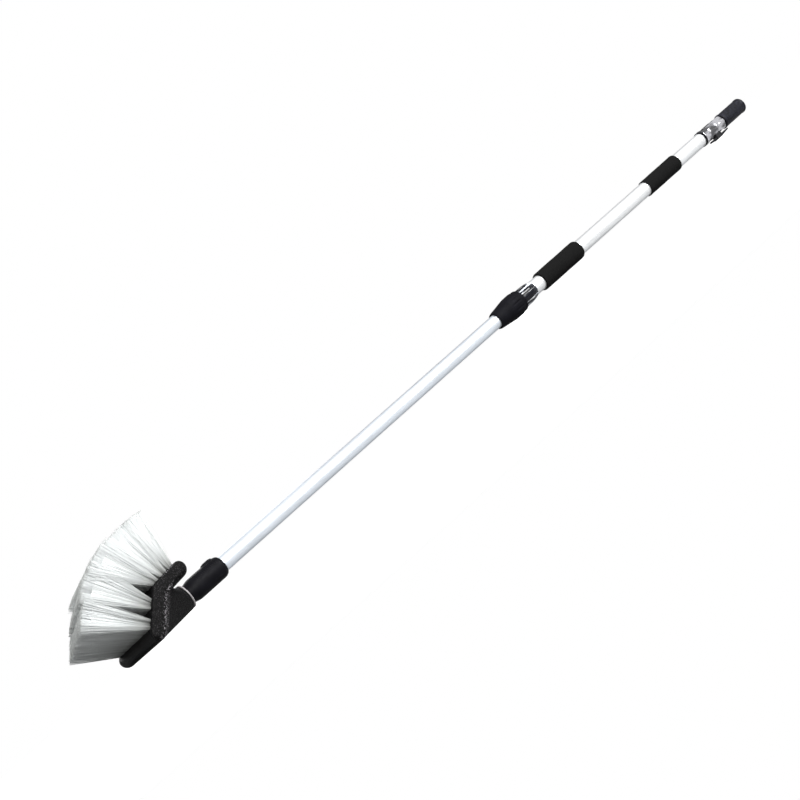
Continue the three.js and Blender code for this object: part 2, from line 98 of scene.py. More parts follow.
# ---------------------------------------------------------------- material nodes
class Finish:
    """A Principled material and the few node groups that the finishes share."""

    def __init__(self, name, **sockets):
        self.material = bpy.data.materials.new(name)
        self.material.use_nodes = True
        self.tree = self.material.node_tree
        self.shader = self.tree.nodes["Principled BSDF"]
        for socket, value in sockets.items():
            self.shader.inputs[socket.replace("_", " ")].default_value = value
        self.coordinates = self.tree.nodes.new("ShaderNodeTexCoord")

    def link(self, source, target):
        self.tree.links.new(source, target)

    def into(self, source, socket):
        self.link(source, self.shader.inputs[socket])

    def texture(self, kind, scale, stretch=(1, 1, 1), **settings):
        """A texture in the object's own space. Its scale is in features per metre."""
        mapping = self.tree.nodes.new("ShaderNodeMapping")
        mapping.inputs["Scale"].default_value = stretch
        self.link(self.coordinates.outputs["Object"], mapping.inputs["Vector"])
        node = self.tree.nodes.new(kind)
        node.inputs["Scale"].default_value = scale
        for name, value in settings.items():
            node.inputs[name].default_value = value
        self.link(mapping.outputs["Vector"], node.inputs["Vector"])
        return node

    def noise(self, scale, stretch=(1, 1, 1), detail=3.0):
        return self.texture("ShaderNodeTexNoise", scale, stretch, Detail=detail).outputs["Fac"]

    def cells(self, scale):
        return self.texture("ShaderNodeTexVoronoi", scale).outputs["Distance"]

    def attribute(self, name):
        node = self.tree.nodes.new("ShaderNodeAttribute")
        node.attribute_name = name
        return node.outputs["Fac"]

    def ramp(self, source, *stops):
        """Colours or greys along a source from 0 to 1: each stop is (place, colour)."""
        node = self.tree.nodes.new("ShaderNodeValToRGB")
        steps = node.color_ramp.elements
        while len(steps) < len(stops):
            steps.new(0.5)
        for step, (place, colour) in zip(steps, stops):
            step.position = place
            step.color = (*colour, 1) if isinstance(colour, tuple) else (colour, colour, colour, 1)
        self.link(source, node.inputs["Fac"])
        return node.outputs["Color"]

    def spread(self, source, low, high):
        """The source's middle range mapped to low..high, for roughness."""
        node = self.tree.nodes.new("ShaderNodeMapRange")
        node.inputs["From Min"].default_value = 0.3
        node.inputs["From Max"].default_value = 0.7
        node.inputs["To Min"].default_value = low
        node.inputs["To Max"].default_value = high
        self.link(source, node.inputs["Value"])
        return node.outputs["Result"]

    def mix(self, first, second, share, kind="MIX"):
        """Two colours mixed by a share, which is a number or a source."""
        node = self.tree.nodes.new("ShaderNodeMix")
        node.data_type = "RGBA"
        node.blend_type = kind
        for index, value in ((6, first), (7, second), (0, share)):
            if isinstance(value, bpy.types.NodeSocket):
                self.link(value, node.inputs[index])
            else:
                node.inputs[index].default_value = value
        return node.outputs[2]

    def bump(self, height, depth_mm, strength=1.0, under=None):
        node = self.tree.nodes.new("ShaderNodeBump")
        node.inputs["Strength"].default_value = strength
        node.inputs["Distance"].default_value = depth_mm * MM
        self.link(height, node.inputs["Height"])
        if under is not None:
            self.link(under, node.inputs["Normal"])
        self.into(node.outputs["Normal"], "Normal")
        return node.outputs["Normal"]


def moulded_plastic(name, base, roughness, grain_mm, depth_mm, tones=(0.75, 1.35), patch_mm=16, **sockets):
    """Black or pale moulded plastic with a fine grain and slight tone changes."""
    made = Finish(name, **sockets)
    patches = made.noise(1 / (patch_mm * MM), detail=5)
    dark, light = (tuple(channel * k for channel in base) for k in tones)
    made.into(made.ramp(patches, (0.3, dark), (0.7, light)), "Base Color")
    grain = made.noise(1 / (grain_mm * MM), detail=2)
    made.into(made.spread(grain, roughness - 0.06, roughness + 0.06), "Roughness")
    made.bump(grain, depth_mm, 0.6)
    return made


def pebbled_plastic():
    """Dark plastic with pale flecks painted in as glints, larger and brighter where the edge attribute marks
    a ridge.
    """
    made = Finish("pebbled_plastic", Specular_IOR_Level=0.07)
    pebbles = made.cells(460)
    fine = made.cells(1300)
    # Pale flecks on the pebbles' tops, larger and brighter on the ridge: painted glints.
    flecks = made.ramp(pebbles, (0.0, 0.06), (0.26, 0.02), (0.38, 0.003))
    bright = made.ramp(pebbles, (0.0, 0.5), (0.3, 0.2), (0.5, 0.006))
    painted_glints = made.mix(flecks, bright, made.attribute("edge"))
    patches = made.ramp(made.noise(230, detail=4), (0.35, (0.35, 0.33, 0.36)), (0.65, (1.2, 1.15, 1.2)))
    made.into(made.mix(painted_glints, patches, 1.0, "MULTIPLY"), "Base Color")
    made.into(made.spread(made.noise(700), 0.4, 0.6), "Roughness")
    coarse = made.bump(pebbles, -0.9, 0.8)
    made.bump(fine, -0.3, 0.5, under=coarse)
    return made


def bristle():
    """Soft white filaments. The mesh's shade attribute is painted shade: it darkens the roots, the gaps
    between tufts and the tips' cut ends.
    """
    made = Finish("bristle", Specular_IOR_Level=0.35)
    colour = made.ramp(made.attribute("shade"), (0.0, (0.06, 0.06, 0.055)), (0.35, (0.36, 0.37, 0.36)),
                       (0.6, (0.55, 0.57, 0.565)), (0.9, (0.78, 0.8, 0.8)))
    made.into(colour, "Base Color")
    made.into(made.spread(made.noise(300, detail=2), 0.4, 0.55), "Roughness")
    return made


def anodised(name, colour, roughness):
    """Satin anodised tube: faint lines drawn along it, and grey where it turns away."""
    made = Finish(name, Metallic=0.75, Specular_Tint=(0.3, 0.32, 0.35, 1))
    drawn = made.noise(900, stretch=(0.02, 1, 1), detail=4)
    clouds = made.noise(14, detail=3)
    darker = tuple(channel * 0.93 for channel in colour)
    made.into(made.mix(made.ramp(clouds, (0.35, darker), (0.65, colour)),
                       made.ramp(drawn, (0.35, 0.95), (0.65, 1.0)), 1.0, "MULTIPLY"), "Base Color")
    made.into(made.spread(drawn, roughness - 0.05, roughness + 0.06), "Roughness")
    made.bump(drawn, 0.02, 0.25)
    return made


def foam():
    """Closed-cell foam rubber: matt black, with open pores cut through its skin and painted darker in their
    pits as painted shade.
    """
    made = Finish("foam", Specular_IOR_Level=0.05)
    pores = made.cells(1500)
    lumps = made.noise(420, detail=4)
    made.into(made.mix(made.ramp(pores, (0.05, 0.0015), (0.3, 0.008)),
                       made.ramp(lumps, (0.3, 0.6), (0.7, 1.0)), 1.0, "MULTIPLY"), "Base Color")
    made.into(made.spread(lumps, 0.85, 1.0), "Roughness")
    made.bump(lumps, 0.25, 0.5, under=made.bump(pores, 0.35, 0.7))
    return made


MARKED = 0.04                             # how much rougher handling marks are than the polish


def polished(name, colour, roughness, painted_reflection_dark=1.0):
    """Polished or plated metal with fine handling marks. Its last argument is how dark the clouds in its
    colour are: painted dark reflections, none at 1.0.
    """
    made = Finish(name, Metallic=1.0)
    marks = made.noise(500, stretch=(0.3, 1, 1), detail=5)
    tones = (tuple(channel * k for channel in colour) for k in (0.9, 1.0))
    # Dark clouds in the colour, wherever the last argument is below 1: painted reflections.
    clouds = made.ramp(made.noise(75, stretch=(0.45, 1, 1), detail=2), (0.42, painted_reflection_dark), (0.56, 1.0))
    made.into(made.mix(made.ramp(marks, *zip((0.3, 0.6), tones)), clouds, 1.0, "MULTIPLY"), "Base Color")
    made.into(made.spread(marks, roughness, roughness + MARKED), "Roughness")
    made.bump(made.noise(160), 0.05, 0.15)
    return made


COLLET_FADE = (852, 866)                  # where along the pole the collet turns from black to clear grey


def collet_plastic():
    """Glossy smoked plastic, clear grey at its thin end, with pale stripes along it painted into its colour
    as highlights.
    """
    made = Finish("collet_plastic", Specular_IOR_Level=0.2, Coat_Weight=0.2, Coat_Roughness=0.03)
    parts = made.tree.nodes.new("ShaderNodeSeparateXYZ")
    made.link(made.coordinates.outputs["Object"], parts.inputs["Vector"])
    reach = made.tree.nodes.new("ShaderNodeMapRange")
    start, end = (float(in_frame((x, 0, 0))[0]) for x in COLLET_FADE)
    reach.inputs["From Min"].default_value = start
    reach.inputs["From Max"].default_value = end
    made.link(parts.outputs["X"], reach.inputs["Value"])
    fade = made.mix(reach.outputs["Result"], made.noise(260), 0.3)
    smoke = made.ramp(fade, (0.3, (0.004, 0.0045, 0.007)), (0.72, (0.02, 0.022, 0.028)),
                      (1.0, (0.25, 0.26, 0.27)))
    # Pale stripes along the skirt's colour: painted highlights.
    painted_highlights = made.ramp(made.noise(230, stretch=(0.06, 1, 1), detail=2), (0.57, 0.0), (0.63, 1.0))
    made.into(made.mix(smoke, (0.6, 0.63, 0.68, 1), painted_highlights), "Base Color")
    made.into(made.spread(made.noise(700), 0.07, 0.13), "Roughness")
    made.bump(made.noise(220), 0.04, 0.3)
    return made


BLACK = (0.0042, 0.0042, 0.0056)
FINISHES = {
    "block": pebbled_plastic(),
    "bristle": bristle(),
    "adapter": moulded_plastic("adapter_plastic", BLACK, 0.45, 0.9, 0.25, Specular_IOR_Level=0.06),
    "nut": moulded_plastic("nut_plastic", (0.0042, 0.0042, 0.0058), 0.6, 0.6, 0.1, Specular_IOR_Level=0.05),
    "sleeve": moulded_plastic("sleeve_plastic", (0.008, 0.0084, 0.0125), 0.4, 1.2, 0.35, tones=(0.1, 1.9),
                              patch_mm=5, Specular_IOR_Level=0.12),
    "lever": moulded_plastic("lever_plastic", BLACK, 0.4, 0.6, 0.08, Specular_IOR_Level=0.2),
    "collet": collet_plastic(),
    "inner_tube": anodised("anodised_inner", (0.83, 0.88, 0.94), 0.36),
    "outer_tube": anodised("anodised_outer", (0.95, 0.965, 0.975), 0.36),
    "foam": foam(),
    # The chrome's dark clouds are painted reflections.
    "chrome": polished("chrome", (0.88, 0.88, 0.93), 0.06, painted_reflection_dark=0.22),
    "brass": polished("brass", (0.68, 0.5, 0.24), 0.25),
    "steel": polished("steel", (0.58, 0.58, 0.6), 0.25),
    "rubber": moulded_plastic("black_rubber", (0.014, 0.014, 0.014), 0.75, 0.5, 0.05),
    "grey_rubber": moulded_plastic("grey_rubber", (0.3, 0.285, 0.29), 0.6, 0.6, 0.06),
    "white": moulded_plastic("white_plastic", (0.72, 0.72, 0.69), 0.4, 0.8, 0.04),
}


# ---------------------------------------------------------------- meshes
def solid(name, points, faces):
    """A mesh object from millimetres along and about the pole, with its faces turned out."""
    mesh = bpy.data.meshes.new(name)
    mesh.from_pydata(in_frame(points).tolist(), [], [tuple(face) for face in faces])
    shape = bmesh.new()
    shape.from_mesh(mesh)
    bmesh.ops.recalc_face_normals(shape, faces=shape.faces)
    shape.to_mesh(mesh)
    shape.free()
    made = bpy.data.objects.new(name, mesh)
    scene.collection.objects.link(made)
    return made


def settle(made, body, finish, nodes=(), sharp=32):
    """Gives a piece its shading and material and its body, and hides the CAD nodes that it stands for."""
    made.data.polygons.foreach_set("use_smooth", [True] * len(made.data.polygons))
    made.data.set_sharp_from_angle(angle=radians(sharp))
    made.data.materials.clear()
    made.data.materials.append(FINISHES[finish].material)
    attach(made, body)
    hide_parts(*nodes)


def bake_modifiers(made):
    graph = bpy.context.evaluated_depsgraph_get()
    mesh = bpy.data.meshes.new_from_object(made.evaluated_get(graph))
    made.modifiers.clear()
    made.data = mesh


def combine(made, tool, operation="DIFFERENCE"):
    """Cuts a tool from a piece, or joins it on, and removes the tool."""
    cutter = made.modifiers.new("cut", "BOOLEAN")
    cutter.operation = operation
    cutter.solver = "EXACT"
    cutter.object = tool
    bake_modifiers(made)
    bpy.data.objects.remove(tool)


def rounded(corners, steps=4):
    """A closed outline of (x, r) corners. A third number is how far a curve cuts across that corner."""
    points = []
    for i, (x, r, *size) in enumerate(corners):
        corner = np.array((x, r), float)
        sides = [np.array(corners[k][:2], float) - corner for k in (i - 1, (i + 1) % len(corners))]
        reach = [min(size[0] if size else 0.25, 0.45 * np.linalg.norm(side)) for side in sides]
        first, last = (corner + side / np.linalg.norm(side) * d for side, d in zip(sides, reach))
        for t in np.linspace(0, 1, steps + 1):
            points.append((1 - t) ** 2 * first + 2 * t * (1 - t) * corner + t * t * last)
    return points


def dense(outline, step):
    """The outline with its long sides split into steps."""
    points = []
    for i, point in enumerate(outline):
        after = outline[(i + 1) % len(outline)]
        count = max(1, int(np.ceil(np.linalg.norm(after - point) / step)))
        points += [point + (after - point) * k / count for k in range(count)]
    return points


def turned(outline, facets=96, ripple=None):
    """Points and faces of a closed outline turned about the pole. ripple(x, r, angle) gives a new radius."""
    points = []
    faces = []
    count = len(outline)
    for i, (x, r) in enumerate(outline):
        for j in range(facets):
            angle = 2 * pi * j / facets
            radius = ripple(x, r, angle) if ripple else r
            points.append((x, radius * sin(angle), radius * cos(angle)))
            a, b = i * facets + j, i * facets + (j + 1) % facets
            c, d = ((i + 1) % count) * facets + (j + 1) % facets, ((i + 1) % count) * facets + j
            faces.append((a, b, c, d))
    return points, faces


def loft(rings):
    """Points and faces of a body through rings of equal counts, closed at both ends."""
    count = len(rings[0])
    points = [point for ring in rings for point in ring]
    faces = []
    for k in range(len(rings) - 1):
        for j in range(count):
            a, b = k * count + j, k * count + (j + 1) % count
            faces.append((a, b, b + count, a + count))
    faces.append(tuple(reversed(range(count))))
    faces.append(tuple(range((len(rings) - 1) * count, len(rings) * count)))
    return points, faces


def rod(start, end, radius, facets=48):
    """A round bar between two points, with its rim slightly broken."""
    a, b = np.array(start, float), np.array(end, float)
    way = (b - a) / np.linalg.norm(b - a)
    side = np.cross(way, (0, 1, 0) if abs(way[1]) < 0.9 else (1, 0, 0))
    side /= np.linalg.norm(side)
    up = np.cross(way, side)
    edge = min(0.3, radius / 4)
    stations = ((a, radius - edge), (a + way * edge, radius), (b - way * edge, radius), (b, radius - edge))
    angles = [2 * pi * j / facets for j in range(facets)]
    return loft([[centre + r * (cos(t) * side + sin(t) * up) for t in angles] for centre, r in stations])


def together(*parts):
    """Several closed bodies in one mesh."""
    points, faces = [], []
    for part_points, part_faces in parts:
        start = len(points)
        points += list(part_points)
        faces += [tuple(start + i for i in face) for face in part_faces]
    return points, faces


def smooth_step(value, low, high):
    t = min(1.0, max(0.0, (value - low) / (high - low)))
    return t * t * (3 - 2 * t)


def from_nearest(angle, count):
    """The signed angle from the nearest of evenly spaced directions."""
    pitch = 2 * pi / count
    return (angle + pitch / 2) % pitch - pitch / 2


# ---------------------------------------------------------------- the head's section
TOE = np.array((-106.5, -4.0))            # front edge of the bristle face, x and z
PLATE = 24.0                               # thickness
MAIN_LENGTH, MAIN_ANGLE = 65.0, 45.5
UPPER_LENGTH, UPPER_ANGLE = 45.5, 5.6
SOCKET_RADIUS, SOCKET_BORE, SOCKET_DEPTH = 20.5, 13.3, 34.0
GUSSET_INSET = 7.0                         # from the plate's ends
FACE_ROUND, BACK_ROUND = 1.8, 9.5          # the end's edge at the bristles, and at the back
JETS = {"place": 24.0, "spacing": 66.0, "radius": 2.2}
VOXEL, SMOOTHING = 1.3, 6                  # how finely plate and gusset are merged and softened


def heading(degrees):
    return np.array((cos(radians(degrees)), sin(radians(degrees))))


def inward(way):
    return np.array((way[1], -way[0]))


MAIN_WAY, UPPER_WAY = heading(MAIN_ANGLE), heading(UPPER_ANGLE)
BEND = TOE + MAIN_WAY * MAIN_LENGTH
CROWN = BEND + UPPER_WAY * UPPER_LENGTH


def face_point(place):
    """The point of the bristle face at a distance along it from the toe."""
    return BEND + UPPER_WAY * (place - MAIN_LENGTH) if place > MAIN_LENGTH else TOE + MAIN_WAY * place


def bend_at(depth):
    half = radians((MAIN_ANGLE - UPPER_ANGLE) / 2)
    return BEND + inward(heading((MAIN_ANGLE + UPPER_ANGLE) / 2)) * depth / cos(half)


def drawn_in(distance, radius):
    """How far a rounded edge has drawn in, at a distance from the end."""
    return radius - sqrt(radius ** 2 - max(0.0, radius - distance) ** 2)


def plate_outline(face, back):
    """The plate's section with its round toe and tip, shrunk by one inset at its face and one at its back."""
    radius = (PLATE - face - back) / 2
    turns = np.linspace(90, -90, 13)
    tip_centre = CROWN + inward(UPPER_WAY) * (face + radius)
    toe_centre = TOE + inward(MAIN_WAY) * (face + radius)
    tip = [tip_centre + heading(UPPER_ANGLE + turn) * radius for turn in turns]
    toe = [toe_centre + heading(MAIN_ANGLE - 180 + turn) * radius for turn in turns]
    return rounded([(*bend_at(face), 5), *tip, (*bend_at(PLATE - back), 3), *toe], steps=2)


def plate_body():
    rings = []
    for side in (-1, 1):
        for distance in (0.15, 0.7, 1.8, 3.2, 5.0, 7.2, BACK_ROUND)[::-side]:
            face = drawn_in(distance, FACE_ROUND) if distance < FACE_ROUND else 0
            outline = plate_outline(face, drawn_in(distance, BACK_ROUND))
            rings.append([(x, side * (HEAD_HALF - distance), z) for x, z in outline])
    rings.sort(key=lambda ring: ring[0][1])
    return loft(rings)


def gusset_body():
    """The web between the plate's back and the round socket: the hull of both."""
    shape = bmesh.new()
    half = HEAD_HALF - GUSSET_INSET
    underside = TOE + inward(MAIN_WAY) * PLATE / 2 - (0, PLATE / 2 - 0.5)
    corners = [(x, y, z) for y in (-half, half) for x, z in (underside, bend_at(PLATE - 1))]
    for x, radius in ((-9, SOCKET_RADIUS), (-1.6, SOCKET_RADIUS), (0, SOCKET_RADIUS - 1.6)):
        corners += [(x, radius * cos(t), radius * sin(t)) for t in np.linspace(0, 2 * pi, 65)[:-1]]
    for corner in corners:
        shape.verts.new(corner)
    hull = bmesh.ops.convex_hull(shape, input=shape.verts)
    spare = {*hull["geom_interior"], *hull["geom_unused"]}
    bmesh.ops.delete(shape, geom=list(spare), context="VERTS")
    shape.verts.index_update()
    points = [tuple(v.co) for v in shape.verts]
    faces = [tuple(v.index for v in f.verts) for f in shape.faces]
    shape.free()
    return points, faces


def mark_ridge(made):
    """Adds an attribute that is 1 on the rounded ends of the plate's back, where the pale flecks painted in
    as glints are thickest.
    """
    tilt, spots = (np.empty(len(made.data.vertices) * 3, np.float32) for _ in range(2))
    made.data.vertices.foreach_get("normal", tilt)
    made.data.vertices.foreach_get("co", spots)
    tilt = np.abs(tilt[1::3])
    depth = (spots.reshape(-1, 3) - in_frame([(TOE[0], 0, TOE[1])])[0])[:, ::2] @ inward(MAIN_WAY) / MM
    edge = np.clip((tilt - 0.25) / 0.2, 0, 1) * np.clip((0.995 - tilt) / 0.1, 0, 1)
    edge *= np.clip((depth - 12) / 5, 0, 1) * np.clip((30 - depth) / 5, 0, 1)
    made.data.attributes.new("edge", "FLOAT", "POINT").data.foreach_set("value", edge.astype(np.float32))


def make_block():
    made = solid("head_block", *together(plate_body(), gusset_body()))
    remesh = made.modifiers.new("remesh", "REMESH")
    remesh.mode = "VOXEL"
    remesh.voxel_size = VOXEL * MM
    soften = made.modifiers.new("soften", "SMOOTH")
    soften.factor = 0.5
    soften.iterations = SMOOTHING
    bake_modifiers(made)
    combine(made, solid("bore", *rod((-SOCKET_DEPTH, 0, 0), (3, 0, 0), SOCKET_BORE)))
    x, z = face_point(JETS["place"])
    dx, dz = inward(MAIN_WAY)
    for y in (-JETS["spacing"], 0, JETS["spacing"]):
        jet = (x + 9 * dx, y, z + 9 * dz), (x - 4 * dx, y, z - 4 * dz), JETS["radius"], 24
        combine(made, solid("jet", *rod(*jet)))
    mark_ridge(made)
    settle(made, "head", "block", ["brush_block"], sharp=50)


# ---------------------------------------------------------------- bristles
# Each band's span along the bristle face, the lean of its two sides in degrees up from straight ahead, how
# far it droops towards the head's +Y end, and its length at the -Y and +Y ends.
BANDS = [
    ((3, 18), (40, 59), 7, (98.5, 76)),
    ((31, 48), (45, 75), 3, (101, 78)),
    ((66.5, 79), (47, 78), 0, (95, 82)),
    ((84, 96), (68, 93), 0, (92, 83)),
    ((100, 108), (86, 101.5), 0, (91, 83)),
]
END_MARGIN = 8.0                           # bare face beside the last tufts
TUFT_LINES = (-0.72, 0.0, 0.72)            # across a band, from its middle to its sides
TUFT_PITCH = 7.2
TUFT_RADIUS = 3.0
STRANDS = 40                               # in a tuft
STRAND_RADIUS = 0.33
STEPS = np.array((-0.02, 0.12, 0.3, 0.5, 0.7, 0.87, 0.97, 1.0))
# The painted shade at each step along a strand, in a band's middle and in its sides: dark at the roots and at
# the tips' cut ends.
CROWN_SHADE = np.array((0.08, 0.4, 0.66, 0.84, 0.92, 0.96, 0.9, 0.35))
SIDE_SHADE = np.array((0.1, 0.44, 0.58, 0.66, 0.7, 0.72, 0.68, 0.3))
CORE_STEPS = np.array((0.01, 0.12, 0.3, 0.5, 0.7, 0.84))


def band_frame(span, lean, across):
    """Root points and angles at places across a band, which run from -1 to 1."""
    share = 0.5 + 0.5 * np.asarray(across)
    places = span[0] + (span[1] - span[0]) * share
    roots = np.array([face_point(place) for place in np.clip(places, 1, None).ravel()])
    angles = np.radians(180 - (lean[0] + (lean[1] - lean[0]) * share))
    return roots.reshape(*places.shape, 2), angles


def band_strands(number, span, lean, droop, lengths):
    """Centre lines of one band's filaments, as an array of strand, step and point, and their painted shades.
    """
    draw = np.random.default_rng(SEED + number)
    half = HEAD_HALF - END_MARGIN
    columns = int(2 * half / TUFT_PITCH)
    tufts = np.array([(line, -half + (k + 0.5 * (row % 2)) * 2 * half / columns)
                      for row, line in enumerate(TUFT_LINES) for k in range(columns + 1 - row % 2)])
    shape = len(tufts), STRANDS
    own = draw.normal(0, 1, (4, len(tufts), 1))
    radius = np.sqrt(draw.random(shape))
    turn = 2 * pi * draw.random(shape)
    sideways, over = radius * np.cos(turn), radius * np.sin(turn)
    reach = TUFT_RADIUS / (0.5 * (span[1] - span[0]))
    across = np.clip(tufts[:, :1] + over * reach, -1.15, 1.15) * 0.9
    roots, angles = band_frame(span, lean, across)
    along = (tufts[:, 1:] + half) / (2 * half)
    angles = angles + np.radians(droop * along - 0.6 * own[0] + draw.normal(0, 0.8, shape))
    length = lengths[0] + (lengths[1] - lengths[0]) * along + 0.35 * own[1]
    length = length * (1 - 0.02 * draw.random(shape) ** 2)
    drift = 0.8 * own[2] + 1.4 * sideways + draw.normal(0, 0.9, shape)
    bow = draw.normal(0, 0.6, (2, *shape))
    lines = np.empty((*shape, len(STEPS), 3))
    for k, t in enumerate(STEPS):
        swell = sin(pi * max(t, 0))
        lines[:, :, k, 0] = roots[..., 0] + np.cos(angles) * length * t + bow[0] * swell
        spread = TUFT_RADIUS * sideways * 0.9 + drift * max(t, 0) ** 1.5
        lines[:, :, k, 1] = tufts[:, 1:] + spread + bow[1] * swell
        lines[:, :, k, 2] = roots[..., 1] + np.sin(angles) * length * t
    # Painted shade: darker towards the band's sides, where the gaps between tufts are, with a little random
    # tone.
    side = np.clip((np.abs(across) - 0.3) / 0.7, 0, 1)[..., None]
    shade = CROWN_SHADE * (1 - side) + SIDE_SHADE * side
    shade = shade + 0.03 * own[3][..., None] + draw.normal(0, 0.04, shape)[..., None]
    return lines.reshape(-1, len(STEPS), 3), np.clip(shade, 0, 1).reshape(-1, len(STEPS))


def band_core(span, lean, droop, lengths):
    """A closed grey body inside the filaments, and its shades, so that the band isn't see-through. Its grey
    is painted shade, standing for the shaded filaments deep in the band.
    """
    half = HEAD_HALF - END_MARGIN - 3.5
    roots, angles = band_frame(span, lean, np.array((-0.62, 0.62)))
    rings, shades = [], []
    for t in CORE_STEPS:
        ring = []
        for y, edge in ((-half, 0), (-half, 1), (half, 1), (half, 0)):
            angle = angles[edge] + radians(droop) * (y > 0)
            length = lengths[int(y > 0)] * t
            ring.append((roots[edge][0] + cos(angle) * length, y, roots[edge][1] + sin(angle) * length))
        rings.append(ring)
        shades += [0.8 * np.interp(t, STEPS, SIDE_SHADE)] * 4
    return *loft(rings), shades


def make_band(number, *band):
    lines, shades = band_strands(number, *band)
    strands, steps = lines.shape[:2]
    way = lines[:, -1] - lines[:, 0]
    way /= np.linalg.norm(way, axis=1, keepdims=True)
    side = np.cross(way, (0.0, 1.0, 0.0))
    side /= np.linalg.norm(side, axis=1, keepdims=True)
    up = np.cross(way, side)
    radii = STRAND_RADIUS * np.interp(STEPS, (0, 0.8, 1), (1, 1, 0.8))
    arms = [cos(turn) * side + sin(turn) * up for turn in (0, 2 * pi / 3, 4 * pi / 3)]
    corners = [lines + arm[:, None, :] * radii[None, :, None] for arm in arms]
    points = np.stack(corners, axis=2).reshape(-1, 3)
    base = (np.arange(strands) * steps * 3)[:, None]
    quads = []
    for step in range(steps - 1):
        for j in range(3):
            a, b = step * 3 + j, step * 3 + (j + 1) % 3
            quads.append((a, b, b + 3, a + 3))
    quads = (base[:, :, None] + np.array(quads)[None]).reshape(-1, 4)
    last = (steps - 1) * 3
    caps = (base[:, :, None] + np.array(((2, 1, 0), (last, last + 1, last + 2)))[None]).reshape(-1, 3)
    core_points, core_faces, core_shades = band_core(*band)
    core_faces = [tuple(len(points) + i for i in face) for face in core_faces]
    name = f"bristles_{number}"
    mesh = bpy.data.meshes.new(name)
    everything = in_frame(np.concatenate((points, np.array(core_points))))
    mesh.from_pydata(everything.tolist(), [], quads.tolist() + caps.tolist() + core_faces)
    values = np.concatenate((np.repeat(shades.reshape(-1), 3), core_shades)).astype(np.float32)
    mesh.attributes.new("shade", "FLOAT", "POINT").data.foreach_set("value", values)
    made = bpy.data.objects.new(name, mesh)
    scene.collection.objects.link(made)
    settle(made, "head", "bristle", [f"bristle_row_{number}"], sharp=50)


# ---------------------------------------------------------------- adapter and inner pole
def make_rim_washer():
    start, end = ends("rim_washer")
    outline = rounded([(start, 10), (start, 20.2, 0.5), (end, 20.2, 1.1), (end, 10, 0.5)])
    made = solid("rim_ring", *turned(outline, 128))
    settle(made, "inner_pole", "grey_rubber", ["rim_washer"])


BUTTON_MIDDLE, BUTTON_LENGTH, BUTTON_WIDTH, BUTTON_TOP = 59.5, 21.0, 10.0, 21.0
BUTTON_CORNER = 3.5
STEM, STEM_HOLE = 3.0, 3.3                 # radii
PIP_ANGLES = (-58, -34, 34, 58)            # rows of grip pips, in degrees from the button
PIP_START, PIP_END, PIP_PITCH = 24, 68, 3.4
PIP_RADIUS, PIP_HEIGHT = 1.25, 0.7


def make_adapter():
    """A conical nose, a barrel with rows of grip pips beside the button, and a rounded rear."""
    start, end = ends("pole_adapter")
    barrel = 18.0
    corners = [(start, 14.3, 0.8), (start + 15, barrel, 4), (end - 6, barrel, 2.5),
               (end - 1.2, barrel - 2, 2), (end, barrel - 4, 0.8), (end, 12.8, 0.4), (40, 12.8), (40, 5.5),
               (28.3, 5.5), (28.3, 9.1), (start, 9.1, 0.4)]

    def pips(x, r, angle):
        if r < barrel - 0.2 or not PIP_START < x < PIP_END:
            return r
        row = min(abs(from_nearest(angle - radians(k), 1)) for k in PIP_ANGLES) * barrel
        along = (x - PIP_START) % PIP_PITCH - PIP_PITCH / 2
        return r + PIP_HEIGHT * sqrt(max(0.0, 1 - (hypot(row, along) / PIP_RADIUS) ** 2))

    made = solid("adapter", *turned(dense(rounded(corners), 0.45), 200, pips))
    combine(made, solid("pocket", *loft(button_rings(0.5, (13.6, 24)))))
    combine(made, solid("stem_hole", *rod((BUTTON_MIDDLE, 0, 6), (BUTTON_MIDDLE, 0, 15), STEM_HOLE)))
    settle(made, "inner_pole", "adapter", ["pole_adapter"])


def button_rings(grow, heights, inset=0.0):
    """Rounded rectangles about the button's middle."""
    half_long = BUTTON_LENGTH / 2 + grow - inset
    half_wide = BUTTON_WIDTH / 2 + grow - inset
    corner = max(0.2, BUTTON_CORNER + grow - inset)
    ring = []
    for quarter, (sx, sy) in enumerate(((1, 1), (-1, 1), (-1, -1), (1, -1))):
        for turn in np.linspace(90 * quarter, 90 * quarter + 90, 9):
            dx, dy = heading(turn) * corner
            ring.append((BUTTON_MIDDLE + sx * (half_long - corner) + dx, sy * (half_wide - corner) + dy))
    return [[(x, y, z) for x, y in ring] for z in heights]


def make_button():
    """A crowned key with ridges across it, on a round stem."""
    rings = button_rings(0, (16.0, 17.2))
    edge = (0, 1.4), (0.25, 0.7), (0.8, 0.2)
    for inset, drop in (*edge, *((inset, 0) for inset in (1.5, 2.1, 2.7, 3.3, 3.9, 4.5))):
        crowned = []
        for x, y, _ in button_rings(0, (0,), inset)[0]:
            reach = (x - BUTTON_MIDDLE) / (BUTTON_LENGTH / 2)
            crown = sqrt(BUTTON_TOP ** 2 - y ** 2) - 1.5 * reach ** 2
            ridged = drop == 0 and abs(reach) < 0.75
            ridge = 0.35 * max(0.0, cos((x - BUTTON_MIDDLE) * 2 * pi / 2.8)) * ridged
            crowned.append((x, y, crown - 0.35 - drop + ridge))
        rings.append(crowned)
    shape = together(loft(rings), rod((BUTTON_MIDDLE, 0, 8.5), (BUTTON_MIDDLE, 0, 16.5), STEM))
    settle(solid("button_key", *shape), "button", "adapter", ["release_button"], sharp=40)


def make_tube(name, node, bore, radius, body, finish):
    start, end = ends(node)
    corners = (start, bore), (start, radius), (end, radius), (end, bore)
    made = solid(name, *turned(dense(rounded([(x, r, 0.3) for x, r in corners]), 40), 128))
    if node == "inner_tube":
        combine(made, solid("stem_hole", *rod((BUTTON_MIDDLE, 0, 6), (BUTTON_MIDDLE, 0, 18), STEM_HOLE)))
    settle(made, body, finish, [node])


# ---------------------------------------------------------------- twist lock and grips
ON_TUBE = 14.3                             # the bore of what fits round the outer tube


